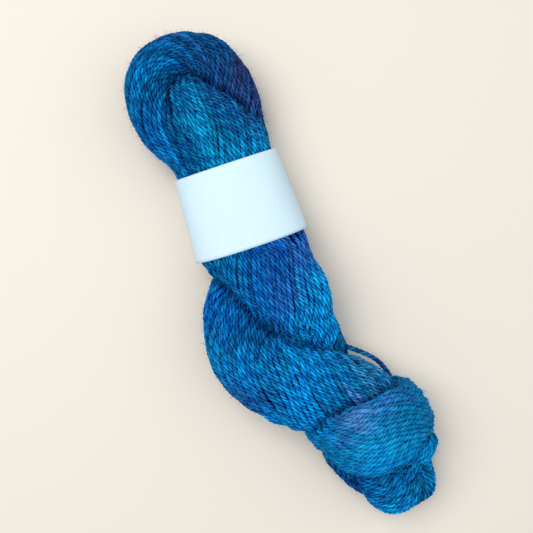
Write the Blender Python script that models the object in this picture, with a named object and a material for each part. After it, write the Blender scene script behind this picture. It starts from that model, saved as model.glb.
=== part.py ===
"""A twisted hank of plied yarn with a paper band round its waist, lying on a flat surface.

The hank is one bundle of yarn, folded at the arch (+Y) so that its two legs twist round each
other. At the far end one leg opens into an eye that wraps over the neck, and the other leg's
end is pulled through it as the tip. Frame: metres, +Y along the skein towards the arch, +X
across, +Z up, the origin at the middle of the footprint on the surface.
"""

import math
from collections import namedtuple

import bmesh
import bpy
from mathutils import Vector

MM = 0.001

# Sizes in millimetres. The tables below have an origin of their own, and this is where the
# middle of the footprint lies in them.
FOOTPRINT_MIDDLE = Vector((0.2, -1.8, 0.0))
ROUND_POINTS = 32          # corners round a bundle
STATION_STEP = 6.0         # length of bundle from one ring of corners to the next
SQUARENESS = 2.3           # superellipse power of a pressed bundle, 2 is an ellipse
SAMPLES_PER_ROW = 40       # fineness of the length measured along a table
HEADING_NUDGE = 0.002      # share of a path to each side from which its heading is taken
FLOOR_CUT_DEPTH = 20.0     # what the surface underneath presses flat
FLOOR_CUT_SPAN = 400.0
SHARP_EDGE_DEGREES = 40.0

PAPER_THICKNESS = 1.0
PAPER_GAP = 0.3            # clearance between the paper and the yarn
BAND_TOP = (3.0, 65.5)     # middle of the edge nearest the arch
BAND_BOTTOM = (-2.3, 21.0)
BAND_HALF_WIDTH_TOP = 28.4
BAND_HALF_WIDTH_BOTTOM = 31.2
BAND_HALF_HEIGHT = 21.0
BAND_LEAN = 0.13           # shift away from the arch for each millimetre of height
BAND_POINTS = 56
BAND_STATIONS = 7
BAND_CLEARING = 14.0       # how far outside the sleeve no yarn is left

YARN_DIAMETER = 2.8
STRAND_POINT_STEP = 5.0
STRAND_BEVEL_RESOLUTION = 2

YARN_BLUE = (0.012, 0.150, 0.480, 1.0)
PAPER_WHITE = (0.800, 0.840, 0.880, 1.0)

Section = namedtuple("Section", "x y z half_width half_height")

# The fold at the top: up from under the band on the left, over, and down the right side.
ARCH = [
    Section(-10.0, 44.0, 22.0, 8.0, 13.0),
    Section(-11.5, 62.0, 24.0, 11.0, 15.0),
    Section(-14.5, 79.0, 23.0, 12.7, 19.5),
    Section(-17.5, 95.0, 21.5, 13.7, 21.7),
    Section(-17.0, 109.0, 21.0, 14.2, 22.0),
    Section(-11.0, 119.7, 21.0, 14.7, 22.0),
    Section(-1.0, 125.2, 20.5, 14.8, 21.5),
    Section(9.0, 124.2, 20.0, 14.8, 21.0),
    Section(17.0, 117.0, 19.5, 14.7, 20.5),
    Section(21.0, 106.0, 18.5, 15.0, 19.5),
    Section(20.5, 93.0, 16.5, 15.0, 17.3),
    Section(16.5, 78.0, 14.5, 15.0, 14.7),
    Section(13.0, 68.0, 14.0, 13.0, 11.0),
]

# From the right limb down beneath the band, out on the left, across the front to the neck.
REAR_LEG = [
    Section(18.0, 84.0, 14.5, 12.0, 12.0),
    Section(15.5, 74.0, 13.6, 16.0, 13.3),
    Section(12.0, 62.0, 13.0, 18.0, 12.0),
    Section(7.0, 46.0, 12.7, 21.0, 11.3),
    Section(4.0, 32.0, 12.7, 22.0, 11.3),
    Section(0.0, 21.0, 13.2, 20.0, 12.0),
    Section(-8.0, 11.0, 15.0, 19.5, 14.6),
    Section(-16.0, 1.0, 17.0, 20.5, 17.5),
    Section(-22.0, -11.0, 19.0, 22.5, 20.0),
    Section(-24.5, -24.0, 20.8, 23.5, 21.6),
    Section(-22.5, -36.0, 23.3, 23.5, 21.3),
    Section(-15.5, -48.0, 26.6, 23.8, 20.2),
    Section(-6.0, -60.0, 28.3, 24.0, 19.0),
    Section(3.5, -71.0, 28.3, 24.7, 18.2),
    Section(11.0, -82.0, 27.0, 26.0, 18.0),
    Section(15.0, -92.0, 25.0, 25.5, 18.0),
    Section(15.5, -101.0, 23.0, 22.5, 18.0),
    Section(15.5, -109.0, 20.5, 18.5, 17.2),
    Section(15.5, -117.0, 17.5, 14.5, 16.0),
    Section(16.0, -125.0, 14.5, 11.0, 14.5),
]

# From its blunt top inside the arch, over the band's waist, then down beneath the other leg.
FRONT_LEG = [
    Section(0.5, 116.0, 18.0, 5.0, 9.0),
    Section(0.5, 113.5, 19.5, 8.0, 12.5),
    Section(0.5, 109.0, 21.5, 11.3, 15.5),
    Section(1.0, 103.5, 24.0, 14.3, 17.0),
    Section(2.5, 96.0, 26.5, 17.7, 17.7),
    Section(4.0, 86.0, 28.0, 22.0, 17.3),
    Section(4.0, 76.0, 28.4, 24.8, 14.8),
    Section(3.0, 66.0, 28.8, 26.6, 12.5),
    Section(0.8, 48.0, 29.2, 28.0, 12.2),
    Section(-1.5, 30.0, 29.2, 28.2, 12.4),
    Section(-1.2, 20.0, 29.6, 27.0, 13.0),
    Section(0.2, 9.0, 30.3, 24.8, 15.3),
    Section(3.0, -3.0, 30.5, 23.3, 17.0),
    Section(4.5, -14.0, 29.3, 22.3, 18.0),
    Section(7.0, -26.0, 25.0, 19.5, 18.0),
    Section(9.5, -37.0, 18.5, 13.5, 16.5),
    Section(9.0, -48.0, 13.5, 13.0, 13.8),
    Section(3.0, -60.0, 11.0, 15.0, 11.8),
    Section(-3.0, -71.0, 11.0, 14.0, 11.6),
    Section(-6.0, -80.0, 12.0, 11.0, 10.0),
]

# The eye: once round the neck, gathered on the left and spread out on the right.
WRAP = [
    Section(4.0, -82.0, 6.3, 10.0, 6.8),
    Section(-7.0, -79.0, 9.0, 9.0, 7.0),
    Section(-13.5, -78.5, 20.0, 9.0, 7.0),
    Section(-10.5, -82.5, 33.0, 11.0, 7.5),
    Section(1.0, -87.5, 42.5, 14.8, 7.5),
    Section(16.0, -90.5, 46.5, 17.0, 7.5),
    Section(31.0, -91.0, 41.5, 18.5, 7.5),
    Section(40.0, -92.0, 28.0, 18.0, 7.5),
    Section(38.5, -92.0, 14.0, 15.5, 7.5),
    Section(30.0, -90.0, 7.3, 13.0, 7.8),
    Section(16.0, -86.0, 6.3, 11.0, 6.8),
]
NECK_AXIS = Vector((0.10, -1.0, 0.0)).normalized()

# A few turns of the eye that slipped off its lower right edge.
WRAP_FOLD = [
    Section(6.0, -102.0, 35.0, 5.0, 6.0),
    Section(18.0, -107.0, 35.0, 7.0, 7.0),
    Section(28.0, -110.0, 31.0, 8.5, 8.0),
    Section(34.5, -112.0, 23.0, 9.0, 8.5),
    Section(35.0, -110.0, 14.0, 9.0, 8.5),
    Section(29.0, -105.0, 8.0, 7.0, 7.0),
]

# The end that is pulled through the eye: a short loop that turns from left to right.
TIP = [
    Section(4.0, -92.0, 20.0, 11.0, 15.0),
    Section(3.2, -104.0, 18.5, 11.2, 16.0),
    Section(3.8, -116.0, 16.0, 11.0, 16.3),
    Section(8.0, -126.8, 15.0, 10.6, 15.7),
    Section(16.3, -132.3, 14.8, 10.6, 15.4),
    Section(24.3, -128.8, 14.5, 10.4, 14.0),
    Section(28.0, -119.5, 15.0, 10.0, 13.0),
    Section(28.0, -109.0, 15.5, 9.5, 12.0),
]

# Its last turns, spread like a fan round the loop's right end.
TIP_FAN = [
    Section(31.0, -104.0, 14.0, 7.0, 11.0),
    Section(31.0, -116.0, 13.0, 7.5, 12.5),
    Section(30.2, -126.5, 12.3, 7.5, 12.6),
    Section(25.8, -134.8, 11.8, 7.5, 12.0),
    Section(19.0, -138.3, 11.5, 6.0, 10.0),
    Section(13.5, -138.8, 11.5, 4.0, 8.0),
]

# One turn of yarn that hangs slack off the right side, from the front leg to the eye.
LOOSE_TURN = [
    (22.5, -51.3, 16.8),
    (25.4, -54.3, 14.9),
    (29.3, -58.6, 13.5),
    (32.8, -63.0, 13.0),
    (35.1, -67.8, 13.6),
    (36.0, -71.6, 14.9),
    (36.4, -74.9, 16.6),
]


def clear_scene():
    """Remove every object, so that the script also runs in an open file."""
    for scene_object in list(bpy.data.objects):
        bpy.data.objects.remove(scene_object, do_unlink=True)


def placed(point):
    """Return a point of the tables in metres from the middle of the footprint."""
    return (Vector(point) - FOOTPRINT_MIDDLE) * MM


def make_material(name, colour, roughness):
    """Return a Principled material of one colour."""
    material = bpy.data.materials.new(name)
    material.use_nodes = True
    shader = material.node_tree.nodes["Principled BSDF"]
    shader.inputs["Base Color"].default_value = colour
    shader.inputs["Roughness"].default_value = roughness
    shader.inputs["Metallic"].default_value = 0.0
    return material


def through(rows, share, closed):
    """Return the values at a share of the way along rows, on a curve through all of them."""
    count = len(rows)
    spans = count if closed else count - 1
    place = share * spans
    index = min(int(place), spans - 1)
    t = place - index

    def row(number):
        if closed:
            return rows[number % count]
        if number < 0:
            return [2 * a - b for a, b in zip(rows[0], rows[1])]
        if number >= count:
            return [2 * a - b for a, b in zip(rows[-1], rows[-2])]
        return rows[number]

    values = []
    for before, start, end, after in zip(row(index - 1), row(index), row(index + 1), row(index + 2)):
        values.append(0.5 * (2 * start + (end - before) * t
                             + (2 * before - 5 * start + 4 * end - after) * t ** 2
                             + (3 * start - before - 3 * end + after) * t ** 3))
    return values


def even_shares(rows, step, closed):
    """Return shares along rows whose points lie about one step apart."""
    samples = SAMPLES_PER_ROW * len(rows)
    points = [Vector(through(rows, k / samples, closed)[:3]) for k in range(samples + 1)]
    lengths = [0.0]
    for start, end in zip(points, points[1:]):
        lengths.append(lengths[-1] + (end - start).length)
    count = max(3, round(lengths[-1] / step))
    shares = []
    for k in range(count if closed else count + 1):
        wanted = lengths[-1] * k / count
        index = max(j for j in range(samples + 1) if lengths[j] <= wanted + 1e-9)
        index = min(index, samples - 1)
        span = lengths[index + 1] - lengths[index]
        shares.append((index + (wanted - lengths[index]) / span) / samples)
    return shares


def superellipse(half_width, half_height, count):
    """Yield the corners of a rounded, slightly squared section."""
    for k in range(count):
        turn = 2 * math.pi * k / count
        across = math.copysign(abs(math.cos(turn)) ** (2 / SQUARENESS), math.cos(turn))
        up = math.copysign(abs(math.sin(turn)) ** (2 / SQUARENESS), math.sin(turn))
        yield half_width * across, half_height * up


def bundle_rings(sections, width_axis, closed):
    """Return rings of corners, in metres, along a bundle of yarn."""
    shares = even_shares(sections, STATION_STEP, closed)
    rings = []
    for share in shares:
        x, y, z, half_width, half_height = through(sections, share, closed)
        behind = share - HEADING_NUDGE
        ahead = share + HEADING_NUDGE
        if closed:
            behind = behind % 1.0
            ahead = ahead % 1.0
        else:
            behind = max(behind, 0.0)
            ahead = min(ahead, 1.0)
        heading = Vector(through(sections, ahead, closed)[:3])
        heading -= Vector(through(sections, behind, closed)[:3])
        heading.normalize()
        if width_axis is None:
            side = heading.cross(Vector((0.0, 0.0, 1.0))).normalized()
        else:
            side = (width_axis - width_axis.dot(heading) * heading).normalized()
        up = side.cross(heading)
        middle = Vector((x, y, z))
        rings.append([placed(middle + side * across + up * height)
                      for across, height in superellipse(half_width, half_height, ROUND_POINTS)])
    return rings


def skin_rings(name, rings, closed):
    """Return an object whose mesh joins rings of corners, with its ends capped if open."""
    mesh = bmesh.new()
    loops = [[mesh.verts.new(corner) for corner in ring] for ring in rings]
    pairs = list(zip(loops, loops[1:]))
    if closed:
        pairs.append((loops[-1], loops[0]))
    for first, second in pairs:
        for k in range(len(first)):
            following = (k + 1) % len(first)
            mesh.faces.new((first[k], first[following], second[following], second[k]))
    if not closed:
        mesh.faces.new(loops[0])
        mesh.faces.new(loops[-1])
    bmesh.ops.recalc_face_normals(mesh, faces=mesh.faces)
    data = bpy.data.meshes.new(name)
    mesh.to_mesh(data)
    mesh.free()
    made = bpy.data.objects.new(name, data)
    bpy.context.scene.collection.objects.link(made)
    return made


def smooth(made):
    """Shade an object smooth but for its sharp edges."""
    made.data.shade_smooth()
    made.data.set_sharp_from_angle(angle=math.radians(SHARP_EDGE_DEGREES))


def make_helper(made):
    """Mark an object as one that only shapes another."""
    made.hide_render = True
    made.display_type = "WIRE"
    return made


def combine(target, helper, operation):
    """Add or cut a helper's shape with an exact Boolean."""
    boolean = target.modifiers.new(f"{operation.title()} {helper.name}", "BOOLEAN")
    boolean.operation = operation
    boolean.solver = "EXACT"
    boolean.use_self = True  # A fat bundle folds into itself on the inside of a tight bend.
    boolean.object = make_helper(helper)


def sleeve_ring(share, offset, extra):
    """Return one ring of the band: a share along it, offset outwards, extra past its ends."""
    top = Vector((*BAND_TOP, 0.0))
    bottom = Vector((*BAND_BOTTOM, 0.0))
    along = (bottom - top).normalized()
    across = along.cross(Vector((0.0, 0.0, 1.0)))
    middle = top.lerp(bottom, share) + along * (extra * (2 * share - 1))
    half_width = BAND_HALF_WIDTH_TOP + (BAND_HALF_WIDTH_BOTTOM - BAND_HALF_WIDTH_TOP) * share
    ring = []
    for width, height in superellipse(half_width + offset, BAND_HALF_HEIGHT + offset, BAND_POINTS):
        lean = along * (BAND_LEAN * height)
        lift = Vector((0.0, 0.0, BAND_HALF_HEIGHT + height))
        ring.append(placed(middle + across * width + lean + lift))
    return ring


def make_sleeve(name, inner_offset, outer_offset, extra):
    """Return a closed tube round the waist between two offsets from the band's outside."""
    shares = [k / (BAND_STATIONS - 1) for k in range(BAND_STATIONS)]
    outside = [sleeve_ring(share, outer_offset, extra) for share in shares]
    inside = [sleeve_ring(share, inner_offset, extra) for share in reversed(shares)]
    return skin_rings(name, outside + inside, closed=True)


def make_floor_cutter():
    """Return the block below the surface that presses the bundles flat."""
    bpy.ops.mesh.primitive_cube_add(size=1.0, location=(0.0, 0.0, -0.5 * FLOOR_CUT_DEPTH * MM))
    cutter = bpy.context.object
    cutter.name = "floor_press"
    cutter.scale = (FLOOR_CUT_SPAN * MM, FLOOR_CUT_SPAN * MM, FLOOR_CUT_DEPTH * MM)
    return cutter


def make_hank():
    """Build the hank: its bundles joined, pressed flat below and drawn in by the band."""
    hank = skin_rings("hank", bundle_rings(REAR_LEG, None, False), False)
    bundles = [
        ("arch", ARCH, None, False),
        ("front_leg", FRONT_LEG, None, False),
        ("wrap", WRAP, NECK_AXIS, True),
        ("wrap_fold", WRAP_FOLD, NECK_AXIS, False),
        ("tip", TIP, None, False),
        ("tip_fan", TIP_FAN, None, False),
    ]
    for name, sections, width_axis, closed in bundles:
        bundle = skin_rings(name, bundle_rings(sections, width_axis, closed), closed)
        combine(hank, bundle, "UNION")
    combine(hank, make_floor_cutter(), "DIFFERENCE")
    room = make_sleeve("band_room", -PAPER_THICKNESS - PAPER_GAP, BAND_CLEARING, PAPER_GAP)
    combine(hank, room, "DIFFERENCE")
    smooth(hank)
    hank.data.materials.append(make_material("Blue yarn", YARN_BLUE, 0.9))


def make_paper_band():
    """Build the paper band as a thin sleeve round the waist."""
    band = make_sleeve("paper_band", -PAPER_THICKNESS, 0.0, 0.0)
    smooth(band)
    band.data.materials.append(make_material("White paper", PAPER_WHITE, 0.7))


def make_loose_strand():
    """Build the turn of yarn that stands off the hank's right side."""
    shares = even_shares(LOOSE_TURN, STRAND_POINT_STEP, False)
    curve = bpy.data.curves.new("loose_strand", "CURVE")
    curve.dimensions = "3D"
    curve.bevel_depth = 0.5 * YARN_DIAMETER * MM
    curve.bevel_resolution = STRAND_BEVEL_RESOLUTION
    curve.use_fill_caps = True
    spline = curve.splines.new("POLY")
    spline.points.add(len(shares) - 1)
    for point, share in zip(spline.points, shares):
        point.co = (*placed(through(LOOSE_TURN, share, False)), 1.0)
    strand = bpy.data.objects.new("loose_strand", curve)
    bpy.context.scene.collection.objects.link(strand)
    curve.materials.append(make_material("Loose blue yarn", YARN_BLUE, 0.9))


def main():
    """Build the whole skein."""
    clear_scene()
    make_hank()
    make_paper_band()
    make_loose_strand()


main()
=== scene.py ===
"""A hank of hand-dyed plied yarn in a plain paper band, laid out for a view from above.

The strands are real geometry: each bundle of the hank lays its strands on its own rounded
surface, neighbours push each other apart, and Geometry Nodes spin every strand from twisted
plies. Frame: metres, +Y along the skein towards the arch, +X across, +Z up.
"""

import logging
import math
from dataclasses import dataclass, field
from enum import Enum
from itertools import product

import bmesh
import bpy
import numpy as np
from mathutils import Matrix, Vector
from mathutils.bvhtree import BVHTree


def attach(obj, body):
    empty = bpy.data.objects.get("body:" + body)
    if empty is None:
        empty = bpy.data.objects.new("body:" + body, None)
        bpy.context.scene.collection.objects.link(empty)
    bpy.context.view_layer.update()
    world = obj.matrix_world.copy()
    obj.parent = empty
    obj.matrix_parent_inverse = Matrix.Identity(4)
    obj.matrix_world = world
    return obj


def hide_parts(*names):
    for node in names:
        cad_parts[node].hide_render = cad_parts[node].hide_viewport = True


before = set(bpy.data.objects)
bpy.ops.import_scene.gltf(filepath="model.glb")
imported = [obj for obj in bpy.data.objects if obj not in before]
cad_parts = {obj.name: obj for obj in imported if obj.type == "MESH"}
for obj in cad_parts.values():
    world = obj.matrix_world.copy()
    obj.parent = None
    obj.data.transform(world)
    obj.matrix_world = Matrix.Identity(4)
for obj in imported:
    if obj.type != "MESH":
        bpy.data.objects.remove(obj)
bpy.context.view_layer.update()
logging.basicConfig(level=logging.INFO, format="%(message)s")
log = logging.getLogger("skein")

MM = 0.001
FULL_TURN = 2 * math.pi
WHITE = (1.0, 1.0, 1.0)
FAR = 99.0                                     # millimetres, farther than anything that counts
FOOTPRINT_MIDDLE = np.array([0.2, -1.8, 0.0])  # middle of the footprint in the tables below
SQUARENESS = 2.3                               # superellipse power of a pressed bundle
GOLDEN_SHARE = 0.61803                         # spreads the strands that go under evenly
GOLDEN_ANGLE = math.pi * (3 - math.sqrt(5))    # spreads directions evenly over a sphere


@dataclass(frozen=True)
class Section:
    """One cross-section of a bundle, in millimetres of the tables.

    drift is the angle, in degrees, by which the strands on top turn right of the heading.
    """

    x: float
    y: float
    z: float
    half_width: float
    half_height: float
    drift: float


# The fold at the top: up from under the band on the left, over, and down the right side.
ARCH = [
    Section(-10.0, 44.0, 22.0, 8.0, 13.0, 10.0),
    Section(-10.5, 62.0, 24.0, 11.0, 15.0, 14.0),
    Section(-11.8, 79.0, 23.0, 12.4, 19.5, 18.0),
    Section(-16.7, 95.0, 21.5, 13.3, 21.7, 28.0),
    Section(-17.0, 109.0, 21.0, 14.2, 22.0, 33.0),
    Section(-11.6, 120.2, 21.0, 15.1, 22.0, 40.0),
    Section(-1.0, 125.2, 20.5, 14.8, 21.5, 44.0),
    Section(9.0, 124.0, 20.0, 14.1, 21.0, 47.0),
    Section(18.2, 117.2, 19.5, 14.8, 20.5, 48.0),
    Section(21.0, 106.0, 18.5, 15.0, 19.5, 46.0),
    Section(21.0, 93.0, 16.5, 15.1, 17.3, 34.0),
    Section(17.3, 78.0, 14.5, 15.1, 14.7, 16.0),
    Section(15.3, 68.0, 13.6, 15.0, 12.5, 8.0),
    Section(12.0, 56.0, 13.2, 15.0, 11.5, 0.0),
]

# From the right limb down beneath the band, out on the left, across the front to the neck.
REAR_LEG = [
    Section(7.0, 44.0, 12.7, 21.0, 11.3, 10.0),
    Section(4.0, 32.0, 12.7, 22.0, 11.3, 14.0),
    Section(2.4, 21.0, 13.2, 20.0, 12.0, 20.0),
    Section(-5.2, 11.0, 15.0, 18.6, 14.6, 28.0),
    Section(-13.2, 1.0, 17.0, 19.6, 17.5, 36.0),
    Section(-20.2, -11.0, 19.0, 22.0, 20.0, 40.0),
    Section(-23.8, -24.0, 20.8, 23.3, 21.6, 42.0),
    Section(-22.5, -36.0, 23.3, 24.5, 21.3, 39.0),
    Section(-15.5, -48.0, 26.6, 24.3, 20.2, 45.0),
    Section(-5.6, -59.7, 28.3, 23.7, 19.0, 54.0),
    Section(5.5, -70.9, 28.3, 23.8, 18.2, 38.0),
    Section(12.4, -82.0, 27.0, 24.8, 18.0, 26.0),
    Section(15.0, -92.0, 25.0, 25.5, 18.0, 20.0),
    Section(15.5, -101.0, 23.0, 22.5, 18.0, 18.0),
    Section(15.5, -109.0, 20.5, 18.5, 17.2, 18.0),
]

# From its blunt top inside the arch, over the band's waist, then down beneath the other leg.
FRONT_LEG = [
    Section(0.5, 116.0, 18.0, 5.0, 9.0, 8.0),
    Section(0.5, 113.5, 19.5, 8.0, 12.5, 8.0),
    Section(0.5, 109.0, 21.5, 11.3, 15.5, 8.0),
    Section(1.0, 103.5, 24.0, 14.3, 17.0, 18.0),
    Section(2.5, 96.0, 26.5, 17.7, 17.7, 24.0),
    Section(4.0, 86.0, 28.0, 22.0, 17.3, 21.0),
    Section(4.0, 76.0, 28.4, 24.8, 14.8, 12.0),
    Section(3.0, 66.0, 28.8, 26.6, 12.5, 12.0),
    Section(0.8, 48.0, 29.2, 28.0, 12.2, 18.0),
    Section(-1.5, 30.0, 29.2, 28.2, 12.4, 28.0),
    Section(-0.3, 20.0, 29.6, 27.5, 13.0, 36.0),
    Section(0.9, 9.5, 30.3, 25.5, 15.3, 37.0),
    Section(2.6, -3.0, 30.5, 23.0, 17.0, 33.0),
    Section(4.6, -14.0, 29.3, 22.3, 18.0, 36.0),
    Section(5.7, -26.0, 25.0, 18.3, 18.0, 44.0),
    Section(8.8, -37.0, 18.5, 13.4, 16.5, 48.0),
    Section(9.0, -48.0, 13.5, 13.8, 13.8, 34.0),
    Section(3.0, -60.0, 11.0, 15.0, 11.8, 20.0),
    Section(-3.0, -71.0, 11.0, 14.0, 11.6, 10.0),
    Section(-6.0, -80.0, 12.0, 11.0, 10.0, 10.0),
]

# The eye: once round the neck, gathered on the left and spread out on the right.
WRAP = [
    Section(4.0, -82.0, 6.3, 10.0, 6.8, 6.0),
    Section(-7.0, -79.0, 9.0, 9.0, 7.0, 6.0),
    Section(-12.3, -80.8, 20.0, 11.0, 7.0, 8.0),
    Section(-7.0, -84.8, 32.0, 14.0, 7.5, 28.0),
    Section(1.6, -91.4, 41.8, 18.4, 7.5, 28.0),
    Section(16.0, -94.0, 46.0, 18.8, 7.5, 18.0),
    Section(31.0, -92.4, 41.5, 16.6, 7.5, 36.0),
    Section(40.5, -93.2, 28.0, 15.2, 7.5, 32.0),
    Section(38.5, -92.0, 14.0, 15.5, 7.5, 10.0),
    Section(30.0, -90.0, 7.3, 13.0, 7.8, 6.0),
    Section(16.0, -86.0, 6.3, 11.0, 6.8, 6.0),
]
NECK_AXIS = (0.0995, -0.995, 0.0)

# A few turns of the eye that slipped off its lower right edge.
WRAP_FOLD = [
    Section(6.0, -102.0, 35.0, 5.0, 6.0, -24.0),
    Section(18.0, -107.4, 35.4, 7.2, 7.0, -24.0),
    Section(28.4, -110.6, 31.5, 8.6, 8.0, -24.0),
    Section(35.3, -113.0, 23.0, 8.8, 8.5, -20.0),
    Section(35.4, -111.5, 14.0, 9.0, 8.5, -12.0),
    Section(29.0, -105.0, 8.0, 7.0, 7.0, 0.0),
]

# Turns that twist round each other like a rope along the lower left edge.
EDGE_ROPE = [
    Section(-7.0, -86.0, 12.0, 3.5, 6.0, 30.0),
    Section(-9.4, -96.0, 14.0, 4.9, 7.5, 46.0),
    Section(-8.5, -104.5, 15.0, 5.2, 8.0, 50.0),
    Section(-6.4, -113.0, 15.0, 5.2, 8.0, 50.0),
    Section(-2.6, -122.0, 13.5, 5.7, 7.0, 46.0),
    Section(3.6, -130.5, 12.0, 3.6, 5.5, 30.0),
]

# The end that is pulled through the eye: a broad loop that turns from left to right.
TIP = [
    Section(3.0, -94.0, 19.5, 12.0, 15.0, -44.0),
    Section(4.4, -106.0, 18.3, 10.8, 16.0, -58.0),
    Section(6.6, -116.6, 16.5, 11.8, 16.3, -52.0),
    Section(9.8, -125.6, 15.3, 14.8, 15.7, -32.0),
    Section(15.8, -128.8, 14.9, 15.8, 15.4, 16.0),
    Section(22.0, -123.0, 14.5, 13.5, 14.2, 54.0),
    Section(26.0, -115.0, 15.0, 12.0, 13.0, 50.0),
    Section(27.0, -106.0, 15.5, 11.0, 12.0, 4.0),
]

# Its last turns, spread like a fan round the loop's right end.
TIP_FAN = [
    Section(31.0, -104.0, 14.0, 7.0, 11.0, -10.0),
    Section(32.6, -116.5, 13.0, 7.7, 12.5, -16.0),
    Section(30.9, -127.5, 12.3, 7.5, 12.6, -16.0),
    Section(27.0, -136.3, 11.8, 7.6, 12.0, -14.0),
    Section(19.4, -139.6, 11.5, 6.0, 10.0, -10.0),
    Section(13.5, -140.2, 11.5, 4.0, 8.0, -6.0),
]

# The turn of yarn that hangs slack off the right side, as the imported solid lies.
LOOSE_TURN = [
    (0.0223, -0.0495, 0.0168),
    (0.0252, -0.0525, 0.0149),
    (0.0291, -0.0568, 0.0135),
    (0.0326, -0.0612, 0.0130),
    (0.0349, -0.0660, 0.0136),
    (0.0358, -0.0698, 0.0149),
    (0.0362, -0.0731, 0.0166),
]


def linear(code: str) -> tuple[float, float, float, float]:
    """Turn an sRGB hex colour into linear light.

    Args:
        code: six hex digits after a hash sign.

    Returns:
        Red, green, blue and an alpha of one.
    """
    parts = [int(code[k:k + 2], 16) / 255 for k in (1, 3, 5)]
    red, green, blue = [
        part / 12.92 if part <= 0.04045 else ((part + 0.055) / 1.055) ** 2.4 for part in parts]
    return red, green, blue, 1.0


def node(tree: bpy.types.NodeTree, kind: str, inputs: dict | None = None,
         **settings: object) -> bpy.types.Node:
    """Add a node with its settings, its sockets' values and the links into them.

    Args:
        tree: the shader or geometry tree.
        kind: the node's type name.
        inputs: socket name or number to a value, or to the node or the socket that feeds it.
            A node feeds with the first of its outputs that is in use.
        settings: the node's own properties.

    Returns:
        The new node.
    """
    made = tree.nodes.new(kind)
    for name, value in settings.items():
        setattr(made, name, value)
    for socket, value in (inputs or {}).items():
        if isinstance(value, bpy.types.Node):
            value = next(output for output in value.outputs if output.enabled)
        if isinstance(value, bpy.types.NodeSocket):
            tree.links.new(value, made.inputs[socket])
        else:
            made.inputs[socket].default_value = value
    return made


class Dye(Enum):
    """The dye bath's shades, as they look on dry wool."""

    TEAL = "#0276A8"
    DEEP_TEAL = "#026BA5"
    TURQUOISE = "#0A9CC7"
    LAGOON = "#0882B4"
    AZURE = "#0392D2"
    CERULEAN = "#0C9FD6"
    COBALT = "#0572BC"
    SAPPHIRE = "#0462A8"
    ROYAL = "#0B5EAC"
    INDIGO = "#2E4171"
    HYACINTH = "#2A6BAE"
    PERIWINKLE = "#608CCE"
    CORNFLOWER = "#2F72B8"
    PETROL = "#02709A"
    NAVY = "#045A8E"
    SLATE = "#175F98"
    MIST = "#3487AE"


@dataclass(frozen=True)
class Splash:
    """A place where one shade of dye soaked in, in millimetres of the tables."""

    shade: Dye
    x: float
    y: float
    reach: float


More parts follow.
